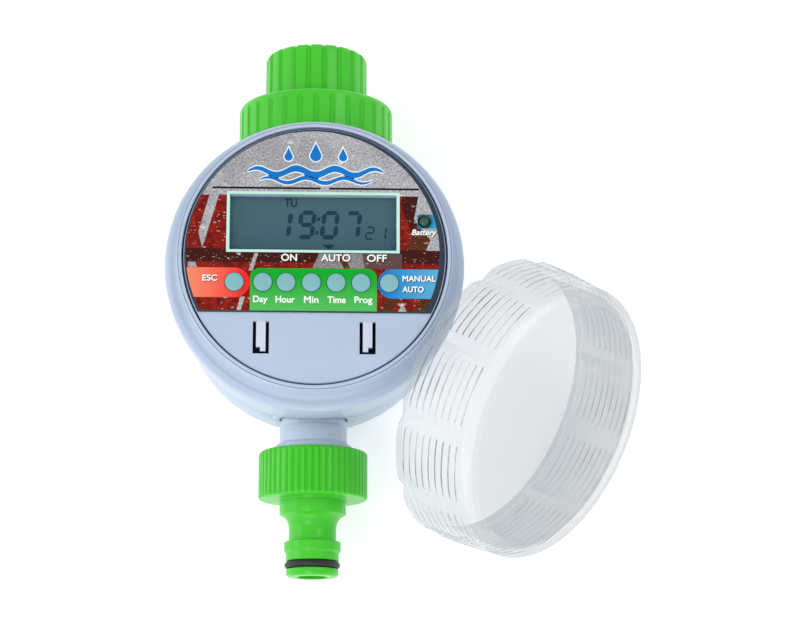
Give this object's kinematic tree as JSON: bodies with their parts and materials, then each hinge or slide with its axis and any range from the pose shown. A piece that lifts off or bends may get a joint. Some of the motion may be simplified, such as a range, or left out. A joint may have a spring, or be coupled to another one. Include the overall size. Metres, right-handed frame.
{
  "type": "drip irrigation timer",
  "caption": "Round battery irrigation timer for a garden tap: control face with display and push buttons, tap adaptor, hose nipple and a clear screw-on cover taken off and leaning beside it.",
  "frame": {"origin": "centre of the flat back of the housing, on the surface it lies on", "axes": "+Z out of the control face, +Y along the pipe towards the tap end, +X to the right of the face"},
  "size_m": [0.1485, 0.1679, 0.0876],
  "materials": {
    "housing_plastic": "satin moulded plastic",
    "green_plastic": "satin moulded plastic",
    "face_plastic": "satin",
    "printed_label": "printed overlay",
    "button_plastic": "satin",
    "rubber": "matt",
    "clear_plastic": "clear polished",
    "display_glass": "display panel",
    "board": "solder mask",
    "lamp_plastic": "tinted lens",
    "battery_wrap": "printed wrap",
    "gear_plastic": "acetal",
    "seat_plastic": "smooth",
    "white_plastic": "satin",
    "steel": "bright"
  },
  "bodies": {
    "timer_body": {"rear_case": "housing_plastic", "front_case": "housing_plastic", "case_screw_1": "steel", "case_screw_2": "steel", "case_screw_3": "steel", "case_screw_4": "steel", "valve_body": "housing_plastic", "outlet_tube": "housing_plastic", "inlet_neck_seal": "rubber", "outlet_neck_seal": "rubber", "inlet_seat": "seat_plastic", "outlet_seat": "seat_plastic", "stem_seal": "rubber", "gearbox_plate": "white_plastic", "drive_motor": "steel"},
    "valve_drive": {"valve_ball": "steel", "ball_stem": "steel", "output_gear": "gear_plastic"},
    "compound_wheel": {"compound_gear": "gear_plastic"},
    "motor_shaft": {"motor_pinion": "gear_plastic"},
    "collar_nut": {"tap_collar_nut": "green_plastic"},
    "adaptor": {"tap_adaptor": "green_plastic", "tap_washer": "rubber", "inlet_filter": "white_plastic"},
    "connector": {"hose_connector": "green_plastic", "connector_washer": "rubber", "connector_o_ring": "rubber"},
    "control_module": {"face_plate": "face_plastic", "face_label": "printed_label", "display_lens": "clear_plastic", "display_panel": "display_glass", "circuit_board": "board", "battery_tray": "white_plastic", "battery_1": "battery_wrap", "battery_2": "battery_wrap", "battery_contact_1": "steel", "battery_contact_2": "steel", "battery_lamp": "lamp_plastic"},
    "left_latch": {"latch_left": "white_plastic"},
    "right_latch": {"latch_right": "white_plastic"},
    "cover": {"clear_cover": "clear_plastic"},
    "escape_button": {"button_escape": "button_plastic"},
    "day_button": {"button_day": "button_plastic"},
    "hour_button": {"button_hour": "button_plastic"},
    "minute_button": {"button_minute": "button_plastic"},
    "time_button": {"button_time": "button_plastic"},
    "program_button": {"button_program": "button_plastic"},
    "mode_button": {"button_mode": "button_plastic"}
  },
  "joints": [
    {"name": "valve_turn", "type": "hinge", "parent": "timer_body", "child": "valve_drive", "pos_m": [0, 0, 0.027], "axis": [0, 0, 1], "range_deg": [0, 90]},
    {"name": "compound_turn", "type": "hinge", "parent": "timer_body", "child": "compound_wheel", "pos_m": [0.0095, -0.01645, 0.042], "axis": [0, 0, 1], "range_deg": [-252, 0]},
    {"name": "motor_turn", "type": "hinge", "parent": "timer_body", "child": "motor_shaft", "pos_m": [0.0242, -0.00795, 0.042], "axis": [0, 0, 1], "range_deg": [0, 604.8]},
    {"name": "collar_swivel", "type": "hinge", "parent": "timer_body", "child": "collar_nut", "pos_m": [0, 0.052, 0.027], "axis": [0, 1, 0], "continuous": true},
    {"name": "adaptor_turn", "type": "hinge", "parent": "collar_nut", "child": "adaptor", "pos_m": [0, 0.065, 0.027], "axis": [0, 1, 0], "continuous": true},
    {"name": "connector_turn", "type": "hinge", "parent": "timer_body", "child": "connector", "pos_m": [0, -0.06, 0.027], "axis": [0, 1, 0], "continuous": true},
    {"name": "module_slide", "type": "slide", "parent": "timer_body", "child": "control_module", "axis": [0, 0, 1], "range_m": [0, 0.035]},
    {"name": "left_latch_flex", "type": "hinge", "parent": "control_module", "child": "left_latch", "pos_m": [-0.0158, -0.0208, 0.0682], "axis": [1, 0, 0], "range_deg": [0, 6], "stiffness_Nm_per_rad": 0.05},
    {"name": "right_latch_flex", "type": "hinge", "parent": "control_module", "child": "right_latch", "pos_m": [0.0158, -0.0208, 0.0682], "axis": [1, 0, 0], "range_deg": [0, 6], "stiffness_Nm_per_rad": 0.05},
    {"name": "escape_press", "type": "slide", "parent": "control_module", "child": "escape_button", "axis": [0, 0, -1], "range_m": [0, 0.0008], "stiffness_N_per_m": 300},
    {"name": "day_press", "type": "slide", "parent": "control_module", "child": "day_button", "axis": [0, 0, -1], "range_m": [0, 0.0008], "stiffness_N_per_m": 300},
    {"name": "hour_press", "type": "slide", "parent": "control_module", "child": "hour_button", "axis": [0, 0, -1], "range_m": [0, 0.0008], "stiffness_N_per_m": 300},
    {"name": "minute_press", "type": "slide", "parent": "control_module", "child": "minute_button", "axis": [0, 0, -1], "range_m": [0, 0.0008], "stiffness_N_per_m": 300},
    {"name": "time_press", "type": "slide", "parent": "control_module", "child": "time_button", "axis": [0, 0, -1], "range_m": [0, 0.0008], "stiffness_N_per_m": 300},
    {"name": "program_press", "type": "slide", "parent": "control_module", "child": "program_button", "axis": [0, 0, -1], "range_m": [0, 0.0008], "stiffness_N_per_m": 300},
    {"name": "mode_press", "type": "slide", "parent": "control_module", "child": "mode_button", "axis": [0, 0, -1], "range_m": [0, 0.0008], "stiffness_N_per_m": 300},
    {"name": "cover_lift", "type": "slide", "parent": "timer_body", "child": "cover", "axis": [0.7231, -0.4192, 0.549], "range_m": [0, 0.06]}
  ],
  "couplings": [
    {"joint": "compound_turn", "follows": "valve_turn", "ratio": -2.8},
    {"joint": "motor_turn", "follows": "valve_turn", "ratio": 6.72}
  ]
}
